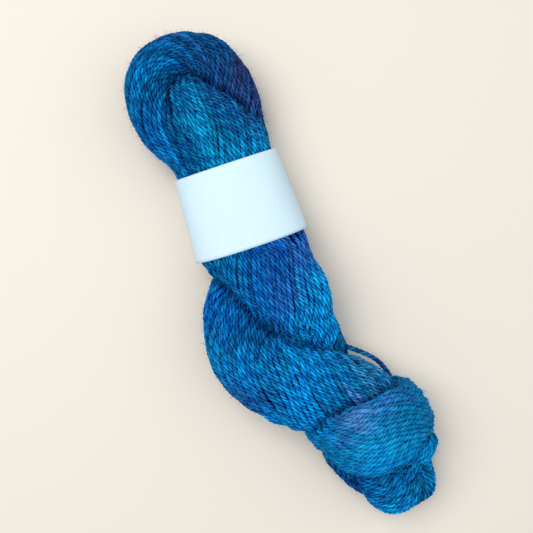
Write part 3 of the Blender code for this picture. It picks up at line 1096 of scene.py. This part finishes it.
@dataclass(frozen=True)
class FuzzFinish(Finish):
    """Loose ends of dyed wool fibre: dull, with painted light: paler than the dye and given a
    painted share of sky, as if it shone through them.
    """

    name: str = "Loose wool fibres"
    paler: tuple[float, float, float] = (1.5, 1.45, 1.3)       # times the dye's colour: painted light shining through
    painted_skylight: tuple[float, float, float] = (0.03, 0.07, 0.10)     # painted skylight, added to it

    def make(self) -> bpy.types.Material:
        """Build the node material.

        Returns:
            The material.
        """
        material, tree, shader = self.start(Roughness=0.95, Specular_IOR_Level=0.05)
        dye = node(tree, "ShaderNodeAttribute", attribute_name="Dye")
        pale = node(tree, "ShaderNodeVectorMath", {0: dye, 1: self.paler, 2: self.painted_skylight},
                    operation="MULTIPLY_ADD")
        tree.links.new(pale.outputs[0], shader.inputs["Base Color"])
        return material


@dataclass(frozen=True)
class PaperFinish(Finish):
    """Uncoated white office paper: matt, faintly blue, with the grain of its pulp."""

    name: str = "Uncoated paper"
    pulp_width: float = 0.9        # millimetres
    dark: str = "#BCD3DF"
    light: str = "#C8DFE9"

    def make(self) -> bpy.types.Material:
        """Build the node material.

        Returns:
            The material.
        """
        material, tree, shader = self.start(Roughness=0.75, Specular_IOR_Level=0.35)
        place = node(tree, "ShaderNodeTexCoord")
        pulp = node(tree, "ShaderNodeTexNoise",
                    {"Vector": place.outputs["Object"], "Scale": 1.0 / (self.pulp_width * MM),
                     "Detail": 4.0})
        tone = node(tree, "ShaderNodeMix",
                    {"Factor": pulp.outputs["Fac"], "A": linear(self.dark),
                     "B": linear(self.light)}, data_type="RGBA")
        bump = node(tree, "ShaderNodeBump",
                    {"Height": pulp.outputs["Fac"], "Strength": 0.25, "Distance": 0.05 * MM})
        tree.links.new(tone.outputs["Result"], shader.inputs["Base Color"])
        tree.links.new(bump.outputs["Normal"], shader.inputs["Normal"])
        return material


@dataclass(frozen=True)
class FloorFinish(Finish):
    """A smooth painted board: pale, warm and matt, so that it keeps a soft shadow."""

    name: str = "Pale floor"

    def make(self) -> bpy.types.Material:
        """Build the material, which needs no more than its shader."""
        return self.start(Base_Color=linear("#D8D0C4"), Roughness=0.8)[0]


def start_tree(name: str, *sizes: tuple[str, str, object]
               ) -> tuple[bpy.types.NodeTree, bpy.types.Node]:
    """Start a tree of geometry nodes with a mesh going in and out, and named inputs.

    Args:
        name: the tree's name.
        sizes: each input's label, the kind of its socket and its value.

    Returns:
        The tree and the node that gives its inputs.
    """
    tree = bpy.data.node_groups.new(name, "GeometryNodeTree")
    for way in ("INPUT", "OUTPUT"):
        tree.interface.new_socket("Geometry", in_out=way, socket_type="NodeSocketGeometry")
    for label, kind, value in sizes:
        tree.interface.new_socket(label, in_out="INPUT",
                                  socket_type="NodeSocket" + kind).default_value = value
    return tree, node(tree, "NodeGroupInput")


def end_tree(tree: bpy.types.NodeTree, grown: bpy.types.Node, material: bpy.types.Material
             ) -> bpy.types.NodeTree:
    """Make what a tree grew real, set its material and send it out.

    Args:
        tree: the geometry nodes.
        grown: the node that gives what they made.
        material: what it is made of.

    Returns:
        The tree.
    """
    real = node(tree, "GeometryNodeRealizeInstances", {"Geometry": grown})
    dressed = node(tree, "GeometryNodeSetMaterial", {"Geometry": real, "Material": material})
    node(tree, "NodeGroupOutput", {"Geometry": dressed})
    return tree


def spinning_tree(yarn: Yarn, material: bpy.types.Material) -> bpy.types.NodeTree:
    """Build the geometry nodes that spin a run of points into twisted plies.

    Args:
        yarn: the yarn's sizes.
        material: what the plies are made of.

    Returns:
        The tree, with the sizes as named inputs.
    """
    tree, given = start_tree(
        "Spin plies", ("Radius", "Float", yarn.radius * MM), ("Groove", "Float", yarn.groove),
        ("Furrow", "Float", yarn.furrow), ("Plies", "Int", yarn.plies),
        ("Corners", "Int", yarn.corners))
    tilt, girth, facing, about, lead = (
        node(tree, "GeometryNodeInputNamedAttribute", {"Name": name}, data_type=kind)
        for name, kind in (("Tilt", "FLOAT"), ("Girth", "FLOAT"), ("Facing", "FLOAT_VECTOR"),
                           ("Round", "FLOAT"), ("Lead", "FLOAT")))
    # the run's own line, turned by the twist
    lines = node(tree, "GeometryNodeMeshToCurve", {"Mesh": given.outputs["Geometry"]})
    tilted = node(tree, "GeometryNodeSetCurveTilt", {"Curve": lines, "Tilt": tilt})
    # the section: a ring with a lobe for each ply
    ring = node(tree, "GeometryNodeCurvePrimitiveCircle",
                {"Resolution": given.outputs["Corners"], "Radius": given.outputs["Radius"]})
    corner = node(tree, "GeometryNodeInputIndex")
    step = node(tree, "ShaderNodeMath", {0: corner, 1: given.outputs["Corners"]},
                operation="DIVIDE")
    turn = node(tree, "ShaderNodeMath", {0: step, 1: FULL_TURN}, operation="MULTIPLY")
    lobes = node(tree, "ShaderNodeMath", {0: turn, 1: given.outputs["Plies"]}, operation="MULTIPLY")
    wave = node(tree, "ShaderNodeMath", {0: lobes}, operation="COSINE")
    crest = node(tree, "ShaderNodeMath", {0: wave, 1: 0.5, 2: 0.5}, operation="MULTIPLY_ADD")
    dip = node(tree, "ShaderNodeMath", {0: 1.0, 1: crest}, operation="SUBTRACT")
    dip = node(tree, "ShaderNodeMath", {0: dip, 1: given.outputs["Furrow"]}, operation="POWER")
    sink = node(tree, "ShaderNodeMath", {0: dip, 1: given.outputs["Groove"]}, operation="MULTIPLY")
    size = node(tree, "ShaderNodeMath", {0: 1.0, 1: sink}, operation="SUBTRACT")
    spot = node(tree, "GeometryNodeInputPosition")
    scaled = node(tree, "ShaderNodeVectorMath", {0: spot, "Scale": size}, operation="SCALE")
    # Crest, 0 in a furrow and 1 on a ply's crest, masks the finish's painted furrow shade
    marked = ring
    for name, value in (("Crest", crest), ("Round", turn)):
        marked = node(tree, "GeometryNodeStoreNamedAttribute",
                      {"Geometry": marked, "Name": name, "Value": value},
                      data_type="FLOAT", domain="POINT")
    lobed = node(tree, "GeometryNodeSetPosition", {"Geometry": marked, "Position": scaled})
    spun = node(tree, "GeometryNodeCurveToMesh",
                {"Curve": tilted, "Profile Curve": lobed, "Scale": girth, "Fill Caps": True})
    # what the finish needs: how far each point faces out, which masks its painted flank shade, and
    # which ply it is on
    normal = node(tree, "GeometryNodeInputNormal")
    lit = node(tree, "ShaderNodeVectorMath", {0: normal, 1: facing}, operation="DOT_PRODUCT")
    angle = node(tree, "ShaderNodeMath", {0: about, 1: lead})
    tone = node(tree, "ShaderNodeMath", {0: angle}, operation="SINE")
    toned = spun
    for name, value in (("Open", lit), ("Ply tone", tone)):
        toned = node(tree, "GeometryNodeStoreNamedAttribute",
                     {"Geometry": toned, "Name": name, "Value": value},
                     data_type="FLOAT", domain="POINT")
    smooth = node(tree, "GeometryNodeSetShadeSmooth", {"Geometry": toned, "Shade Smooth": True})
    return end_tree(tree, smooth, material)


@dataclass
class Hank:
    """The wound yarn: eight bundles of strands and the inside that they lie on, dark with painted
    shade.
    """

    yarn: Yarn
    band: PaperBand
    seed: int = 20
    bath: DyeBath = DyeBath()
    spinning: Spinning = Spinning()
    skin_corners: int = 40
    skin_step: int = 4         # stations from one ring of a searched skin to the next
    core_depth: float = 2.8
    core_step: int = 3         # the same for the inside that shows
    core_painted_shade: float = 0.8     # painted shade: the inside's brightness beside the strands'
    core_floor: float = 1.5
    core_spare: float = 1.0    # how much deeper it lies under the band
    cull_depth: float = 9.0    # strands this deep in another bundle are dropped
    tuck_in: float = 9.0       # how far strands run on under the band
    lowest: float = -3.0       # strands this low are dropped, before they settle
    valley_depth: float = 1.6  # how far both sides sink where two bundles meet
    valley_width: float = 4.5
    painted_crease_shade: float = 0.55  # painted shade: share of the colour that a crease's bottom loses
    painted_crease_width: float = 2.2
    painted_crease_tint: tuple[float, float, float] = (1.6, 1.25, 1.0)  # how the painted crease shade dims the colours: red most, blue least
    shortest: int = 8          # points of the shortest run that is kept
    views: int = 26            # directions from which a strand may be seen
    view_step: int = 3         # points from one that is tested to the next
    view_lift: float = 1.5     # how far above its strand a view starts
    view_spare: float = 0.3    # how much deeper than the core lies what stops a view
    view_slope: float = 0.1    # least cosine between a view and the strand's normal
    rounds: int = 36           # steps in which the strands settle
    search_every: int = 4      # steps from one search for neighbours to the next
    search_reach: float = 1.35     # in least gaps
    own_points: int = 6        # points along one strand that don't push each other
    push: float = 0.22         # share of an overlap that one step clears
    settling: float = 0.12     # share of its rise that a point gives back at each step
    floor_gap: float = 1.1     # least height of a strand's middle, in radii
    paper_gap: float = 0.5     # from a strand to the paper's outside
    swell: float = 0.85        # how fast the hank swells out again past the band's edges
    fibre_gap: float = 5.0     # loose fibres start this far from the band
    most_triangles: int = 185_000
    bundles: list[Bundle] = field(default_factory=lambda: [
        Bundle("rear leg", "yarn_rear_leg", REAR_LEG, haze=0.05),
        Bundle("arch", "yarn_arch", ARCH, crease=0.8, haze=0.12),
        Bundle("front leg", "yarn_front_leg", FRONT_LEG, crease=0.5, haze=0.05),
        Bundle("wrap", "yarn_wrap", WRAP, NECK_AXIS, True, 0.2, 0.42),
        Bundle("wrap fold", "yarn_wrap", WRAP_FOLD, NECK_AXIS, False, 0.4, 0.2),
        Bundle("edge rope", "yarn_tip", EDGE_ROPE, crease=0.5),
        Bundle("tip", "yarn_tip", TIP, crease=0.5, haze=0.1),
        Bundle("tip fan", "yarn_tip", TIP_FAN, crease=0.15),
    ])

    def skins(self, inset: float) -> list[BVHTree]:
        """One searchable skin for each bundle, a given depth inside its surface."""
        return [BVHTree.FromPolygons(*[list(part) for part in bundle.faces(
            bundle.rings(inset, self.skin_corners, self.skin_step))])
            for bundle in self.bundles]

    def outside(self, skin: BVHTree, point: np.ndarray) -> float:
        """Measure how far a point lies from a skin.

        Args:
            skin: the skin to search.
            point: the point.

        Returns:
            The distance, negative inside the skin.
        """
        spot = Vector(point)
        place, normal, _, distance = skin.find_nearest(spot)
        if (spot - place).dot(normal) > 0:
            return distance
        way = Vector((0.21, 0.34, 0.91))           # a folded skin can name the wrong side
        hit, face, _, _ = skin.ray_cast(spot, way)
        return -distance if hit is not None and way.dot(face) > 0 else distance

    def valley(self, distance: np.ndarray) -> np.ndarray:
        """How far a bundle sinks at a distance from the next one's skin."""
        return self.valley_depth * np.exp(-(np.maximum(distance, 0.0) / self.valley_width) ** 2)

    def lay(self) -> None:
        """Lay every strand, and drop what other bundles, the band or the floor hide."""
        rng = np.random.default_rng(self.seed)
        self.strands: list[Strand] = []
        for number, bundle in enumerate(self.bundles):
            bundle.lay_out(self.yarn.ring_step)
            self.strands += bundle.lay_strands(self.yarn, number, rng)
        outer = self.skins(0.0)
        kept: list[Strand] = []
        for strand in self.strands:
            keep = ~self.band.hidden(strand.points, self.tuck_in)
            keep &= strand.points[:, 2] > self.lowest
            near = np.full(len(keep), FAR)
            for number, skin in enumerate(outer):
                if number == strand.bundle:
                    continue
                for k in np.flatnonzero(keep):
                    distance = self.outside(skin, strand.points[k])
                    keep[k] = distance > -self.cull_depth
                    near[k] = min(near[k], distance)
            strand.points = strand.points - strand.normals * self.valley(near)[:, None]
            # painted shade: a strand's colour darkens near another bundle's skin, standing in for a
            # crease's shadow
            strand.shade = 1 - self.painted_crease_shade * self.bundles[strand.bundle].crease * np.exp(
                -(np.maximum(near, 0.0) / self.painted_crease_width) ** 2)
            kept += strand.cut(keep, self.shortest)
        self.strands = kept
        self.drop_unseen()

    def drop_unseen(self) -> None:
        """Drop the stretches that no view from outside can reach."""
        inner = self.skins(self.core_depth + self.view_spare)
        turns = GOLDEN_ANGLE * np.arange(self.views)
        z = 1 - 2 * (np.arange(self.views) + 0.5) / self.views
        across = np.sqrt(1 - z * z)
        rays = [Vector(way) for way in zip(across * np.cos(turns), across * np.sin(turns), z)]
        kept: list[Strand] = []
        for strand in self.strands:
            seen = np.zeros(len(strand.points), bool)
            for k in range(0, len(strand.points), self.view_step):
                start = Vector(strand.points[k] + strand.normals[k] * self.view_lift)
                facing = Vector(strand.normals[k])
                for ray in rays:
                    if ray.dot(facing) < self.view_slope:
                        continue
                    if all(skin.ray_cast(start, ray)[0] is None for skin in inner):
                        seen[max(0, k - self.view_step - 1):k + self.view_step + 2] = True
                        break
            kept += strand.cut(seen, self.shortest)
        self.strands = kept

    def settle(self) -> None:
        """Let the strands push each other apart, lie on the floor and pass under the band."""
        yarn = self.yarn
        first = np.concatenate([s.points for s in self.strands])
        normals = np.concatenate([s.normals for s in self.strands])
        owner = np.repeat(np.arange(len(self.strands)), [len(s.points) for s in self.strands])
        middle = (owner[1:-1] == owner[2:]) & (owner[1:-1] == owner[:-2])
        inside = np.flatnonzero(middle) + 1
        points = first.copy()
        for turn in range(self.rounds):
            if turn % self.search_every == 0:
                one, two = near_pairs(points, self.search_reach * yarn.least_gap)
                apart = (owner[one] != owner[two]) | (np.abs(one - two) > self.own_points)
                one, two = one[apart], two[apart]
            gap = points[one] - points[two]
            distance = np.maximum(np.linalg.norm(gap, axis=1), 1e-6)
            push = np.clip(yarn.least_gap - distance, 0.0, None) * self.push
            push = gap / distance[:, None] * push[:, None]
            for axis in range(3):
                points[:, axis] += np.bincount(one, push[:, axis], len(points))
                points[:, axis] -= np.bincount(two, push[:, axis], len(points))
            moved = points - first
            height = (moved * normals).sum(axis=1)
            moved -= normals * (self.settling * height)[:, None]
            blend = moved.copy()
            blend[inside] = 0.5 * moved[inside] + 0.25 * (moved[inside - 1] + moved[inside + 1])
            points = first + blend
            points[:, 2] = np.maximum(points[:, 2], self.floor_gap * yarn.radius)
            points = self.band.gather(points, self.paper_gap + yarn.radius, self.swell)
        ends = np.cumsum([len(s.points) for s in self.strands])
        for strand, own in zip(self.strands, np.split(points, ends[:-1])):
            strand.points = own

    def spin(self, name: str, strands: list[Strand], tree: bpy.types.NodeTree,
             rng: np.random.Generator) -> bpy.types.Object:
        """Make one piece of the hank from its strands.

        Args:
            name: the piece's name.
            strands: the runs of yarn in it.
            tree: the geometry nodes that spin them.
            rng: the seeded source of each strand's starting twist.

        Returns:
            The piece, a plain mesh.
        """
        points = np.concatenate([s.points for s in strands]) * MM
        sizes = [len(s.points) for s in strands]
        ends = np.cumsum(sizes)
        starts = ends - sizes
        edges = np.concatenate([np.stack([np.arange(a, b - 1), np.arange(a + 1, b)], axis=1)
                                for a, b in zip(starts, ends)])
        data = bpy.data.meshes.new(name)
        data.from_pydata(points.tolist(), edges.tolist(), [])
        runs, colours = [], []
        for strand in strands:
            runs.append(self.spinning.run(distances(strand.points), self.yarn.ply_pitch, rng))
            neat = 1.0 - self.bundles[strand.bundle].haze
            dye_and_painted_shade = self.bath.colour(strand.points, strand.shift * neat, neat,
                                      self.yarn.ring_step)
            # the painted crease shade is multiplied into the dye colour
            dye_and_painted_shade[:, :3] *= strand.shade[:, None] ** self.painted_crease_tint
            colours.append(dye_and_painted_shade)
        tilts, leads, girths = zip(*runs)
        hazes = [np.full(len(s.points), self.bundles[s.bundle].haze) for s in strands]
        bare = [1.0 - self.band.hidden(s.points, -self.fibre_gap) for s in strands]
        for label, values in (("Tilt", tilts), ("Girth", girths), ("Lead", leads),
                              ("Haze", hazes), ("Bare", bare)):
            store(data, label, "FLOAT", "value", values)
        store(data, "Facing", "FLOAT_VECTOR", "vector", [s.normals for s in strands])
        # Dye holds the dye with the painted crease shade already in it
        store(data, "Dye", "FLOAT_COLOR", "color", colours)
        return plain_mesh(name, data, tree)

    def build_core(self, material: bpy.types.Material) -> bpy.types.Object:
        """Build the yarn inside the hank that shows between the strands, darkened with painted
        shade.

        Args:
            material: its finish.

        Returns:
            The inside of all bundles, as one piece.
        """
        mesh = bmesh.new()
        colour = mesh.verts.layers.float_color.new("Dye")
        crest = mesh.verts.layers.float.new("Crest")
        for bundle in self.bundles:
            corners, faces = bundle.faces(
                bundle.rings(self.core_depth, self.skin_corners, self.core_step))
            corners[:, 2] = np.maximum(corners[:, 2], self.core_floor)
            corners = self.band.gather(corners, self.core_depth + self.core_spare, self.swell)
            # painted shade: the inside is coloured darker than its dye
            shades = self.bath.colour(corners, np.zeros(3), 0.0, 0.0) * self.core_painted_shade
            made = [mesh.verts.new(Vector(c * MM)) for c in corners]
            for corner, shade in zip(made, shades):
                corner[colour] = shade
                # painted shade: a crest of 0 gives the inside the finish's full furrow shade
                corner[crest] = 0.0
            for face in faces:
                mesh.faces.new([made[k] for k in face])
        core = mesh_object("yarn_core", mesh)
        core.data.materials.append(material)
        return core

    def build(self) -> list[bpy.types.Object]:
        """Lay, settle and spin the whole hank.

        Returns:
            Its pieces.
        """
        self.lay()
        for number, bundle in enumerate(self.bundles):
            sizes = [len(s.points) for s in self.strands if s.bundle == number]
            log.info("%s: %d runs, %.2f m", bundle.name, len(sizes),
                     sum(sizes) * self.yarn.ring_step * MM)
        self.settle()
        wool = WoolFinish("Hand-dyed wool").make()
        tree = spinning_tree(self.yarn, wool)
        rng = np.random.default_rng(self.seed + 1)
        pieces = []
        for name in dict.fromkeys(bundle.piece for bundle in self.bundles):
            own = [s for s in self.strands if self.bundles[s.bundle].piece == name]
            most = self.most_triangles // (2 * self.yarn.corners)
            part, points = 1, 0
            group: list[Strand] = []
            for strand in own:
                if points + len(strand.points) > most:
                    pieces.append(self.spin(f"{name}_{part}", group, tree, rng))
                    part, points, group = part + 1, 0, []
                group.append(strand)
                points += len(strand.points)
            pieces.append(self.spin(f"{name}_{part}", group, tree, rng))
        pieces.append(Fuzz().build(pieces))
        inside = WoolFinish("Hand-dyed wool, inside the hank", sheen=0.0).make()
        pieces.append(self.build_core(inside))
        return pieces


@dataclass
class Fuzz:
    """Short fibres that stand off the wool, drawn coarser than real ones. Millimetres."""

    width: float = 0.085
    shortest: float = 1.0
    longest: float = 3.6
    per_square: float = 0.16   # fibres on each square millimetre of open strand
    least_open: float = 0.3    # they grow where a strand faces out at least this much
    lift: float = 0.3          # how much they keep to the surface's own direction
    curl: float = 6.4
    curl_width: float = 4.0    # how far apart fibres curl another way
    floor: float = 0.1         # they stay this far above the floor
    seed: int = 9

    def tree(self, wool: bpy.types.Collection, material: bpy.types.Material
             ) -> bpy.types.NodeTree:
        """Build the geometry nodes that grow curled fibres on the pieces of the hank.

        Args:
            wool: the collection that holds the pieces.
            material: what the fibres are made of.

        Returns:
            The tree, with the sizes as named inputs.
        """
        tree, given = start_tree(
            "Grow fibres", ("Wool", "Collection", wool),
            ("Radius", "Float", 0.5 * self.width * MM),
            ("Shortest", "Float", self.shortest * MM), ("Longest", "Float", self.longest * MM),
            ("Density", "Float", self.per_square / MM ** 2), ("Curl", "Float", self.curl * MM),
            ("Seed", "Int", self.seed))
        parts = node(tree, "GeometryNodeCollectionInfo", {0: given.outputs["Wool"]})
        whole = node(tree, "GeometryNodeRealizeInstances", {0: parts})
        facing, bare = (
            node(tree, "GeometryNodeInputNamedAttribute", {"Name": name}, data_type="FLOAT")
            for name in ("Open", "Bare"))
        ready = node(tree, "ShaderNodeMath", {0: facing, 1: bare}, operation="MULTIPLY")
        outer = node(tree, "ShaderNodeMath", {0: ready, 1: self.least_open},
                     operation="GREATER_THAN")
        roots = node(tree, "GeometryNodeDistributePointsOnFaces",
                     {"Mesh": whole, "Selection": outer, "Density": given.outputs["Density"],
                      "Seed": given.outputs["Seed"]})
        lean = node(tree, "FunctionNodeRandomValue",
                    {0: (-1.0, -1.0, -1.0), 1: (1.0, 1.0, 1.0), "Seed": given.outputs["Seed"]},
                    data_type="FLOAT_VECTOR")
        lifted = node(tree, "ShaderNodeVectorMath",
                      {0: roots.outputs["Normal"], "Scale": self.lift}, operation="SCALE")
        aim = node(tree, "ShaderNodeVectorMath", {0: lifted, 1: lean})
        turn = node(tree, "FunctionNodeAlignRotationToVector", {"Vector": aim}, axis="Z")
        size = node(tree, "FunctionNodeRandomValue",
                    {2: given.outputs["Shortest"], 3: given.outputs["Longest"],
                     "Seed": given.outputs["Seed"]}, data_type="FLOAT")
        line = node(tree, "GeometryNodeCurvePrimitiveLine", {"End": (0.0, 0.0, 1.0)})
        fine = node(tree, "GeometryNodeResampleCurve", {"Curve": line, "Count": 3})
        grown = node(tree, "GeometryNodeInstanceOnPoints",
                     {"Points": roots, "Instance": fine, "Rotation": turn, "Scale": size})
        real = node(tree, "GeometryNodeRealizeInstances", {0: grown})
        spot = node(tree, "GeometryNodeInputPosition")
        swirl = node(tree, "ShaderNodeTexNoise",
                     {"Vector": spot, "Scale": 1.0 / (self.curl_width * MM), "Detail": 0.0})
        centred = node(tree, "ShaderNodeVectorMath",
                       {0: swirl.outputs["Color"], 1: (0.5, 0.5, 0.5)}, operation="SUBTRACT")
        along = node(tree, "GeometryNodeSplineParameter")
        reach = node(tree, "ShaderNodeMath", {0: along.outputs["Factor"], 1: given.outputs["Curl"]},
                     operation="MULTIPLY")
        bend = node(tree, "ShaderNodeVectorMath", {0: centred, "Scale": reach}, operation="SCALE")
        curled = node(tree, "GeometryNodeSetPosition", {"Geometry": real, "Offset": bend})
        over = node(tree, "ShaderNodeVectorMath", {0: spot, 1: (-1.0, -1.0, self.floor * MM)},
                    operation="MAXIMUM")
        curled = node(tree, "GeometryNodeSetPosition", {"Geometry": curled, "Position": over})
        ring = node(tree, "GeometryNodeCurvePrimitiveCircle",
                    {"Resolution": 3, "Radius": given.outputs["Radius"]})
        tube = node(tree, "GeometryNodeCurveToMesh",
                    {"Curve": curled, "Profile Curve": ring, "Fill Caps": False})
        return end_tree(tree, tube, material)

    def build(self, pieces: list[bpy.types.Object]) -> bpy.types.Object:
        """Grow the fibres on finished pieces.

        Args:
            pieces: the spun pieces of the hank.

        Returns:
            All fibres, as one plain mesh.
        """
        wool = bpy.data.collections.new("wool")
        for piece in pieces:
            wool.objects.link(piece)
        tree = self.tree(wool, FuzzFinish().make())
        made = plain_mesh("yarn_fuzz", bpy.data.meshes.new("yarn_fuzz"), tree)
        bpy.data.collections.remove(wool)
        return made


@dataclass
class LooseStrand:
    """One turn of yarn that stands off the hank. Lengths in millimetres."""

    yarn: Yarn
    hank: Hank
    free: Yarn = Yarn(diameter=3.1, groove=0.3)    # rounder than a strand that lies pressed
    tuck: float = 1.5          # how far each end goes in between the hank's own strands
    samples: int = 200
    seed: int = 5

    def build(self) -> bpy.types.Object:
        """Spin the loose turn.

        Returns:
            The strand as a mesh tube.
        """
        knots = np.array(LOOSE_TURN) / MM
        tucks = [knots[0] - self.tuck * unit(knots[1] - knots[0]),
                 knots[-1] + self.tuck * unit(knots[-1] - knots[-2])]
        knots = np.concatenate([tucks[:1], knots, tucks[1:]])
        fine = catmull_rom(knots, np.linspace(0.0, 1.0, self.samples), False)
        points, normals, _ = even_run(fine, fine, np.zeros(self.samples), self.yarn.ring_step)
        strand = Strand(points, normals, 0, np.zeros(3), np.ones(len(points)))
        self.path = points * MM
        self.length = float(distances(self.path)[-1])
        tree = spinning_tree(self.free, WoolFinish("Hand-dyed wool, loose turn").make())
        return self.hank.spin("loose_turn", [strand], tree, np.random.default_rng(self.seed))


@dataclass
class Studio:
    """The camera above the skein, soft lights and a plain pale floor."""

    camera_at: tuple[float, float, float] = (0.0007, 0.0086, 0.417)
    camera_turn: float = -25.0
    lens: float = 50.0
    sensor: float = 36.0

    def place_camera(self) -> None:
        """Look straight down, turned as the photograph is."""
        data = bpy.data.cameras.new("camera")
        data.lens = self.lens
        data.sensor_width = self.sensor
        data.dof.use_dof = False
        made = bpy.data.objects.new("camera", data)
        made.location = self.camera_at
        made.rotation_euler = (0.0, 0.0, math.radians(self.camera_turn))
        bpy.context.scene.collection.objects.link(made)
        bpy.context.scene.camera = made

    def area(self, name: str, place: tuple[float, float, float], size: float, power: float,
             tint: str) -> None:
        """Add a soft square light that faces the skein.

        Args:
            name: the light's name.
            place: where it hangs, in metres.
            size: its side, in metres.
            power: its power, in watts.
            tint: its colour.
        """
        data = bpy.data.lights.new(name, "AREA")
        data.size = size
        data.energy = power
        data.color = linear(tint)[:3]
        made = bpy.data.objects.new(name, data)
        made.location = place
        made.rotation_euler = (-Vector(place)).to_track_quat("-Z", "Y").to_euler()
        bpy.context.scene.collection.objects.link(made)

    def build(self) -> None:
        """Lay the floor, hang the lights and set the plain view."""
        mesh = bmesh.new()
        bmesh.ops.create_grid(mesh, x_segments=1, y_segments=1, size=2.0)
        floor = mesh_object("floor", mesh)
        floor.data.materials.append(FloorFinish().make())
        self.area("window", (-0.28, 0.42, 1.02), 0.9, 11.6, "#FFFFFF")
        self.area("room", (0.6, -0.2, 1.0), 1.2, 5.0, "#F4FAFF")
        world = bpy.data.worlds.new("world")
        world.use_nodes = True
        world.node_tree.nodes["Background"].inputs["Color"].default_value = linear("#F2F4F7")
        world.node_tree.nodes["Background"].inputs["Strength"].default_value = 0.5
        bpy.context.scene.world = world
        bpy.context.scene.view_settings.view_transform = "Standard"


def main() -> None:
    """Build and dress the skein, piece by piece."""
    studio = Studio()
    studio.place_camera()
    yarn = Yarn()
    band = PaperBand()
    hank = Hank(yarn, band)

    loose = LooseStrand(yarn, hank)
    strand = loose.build()
    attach(strand, "root")
    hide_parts("loose_strand")
    log.info("loose_turn: %.1f mm long", loose.length / MM)

    for piece in hank.build():
        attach(piece, "root")
        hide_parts("hank")
        log.info("%s: %d faces", piece.name, len(piece.data.polygons))

    wrap = band.build()
    wrap.data.materials.append(PaperFinish().make())
    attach(wrap, "root")
    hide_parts("paper_band")
    log.info("paper_wrap: %.0f mm strip", band.flat_length)

    studio.build()


if __name__ == "__main__":
    main()
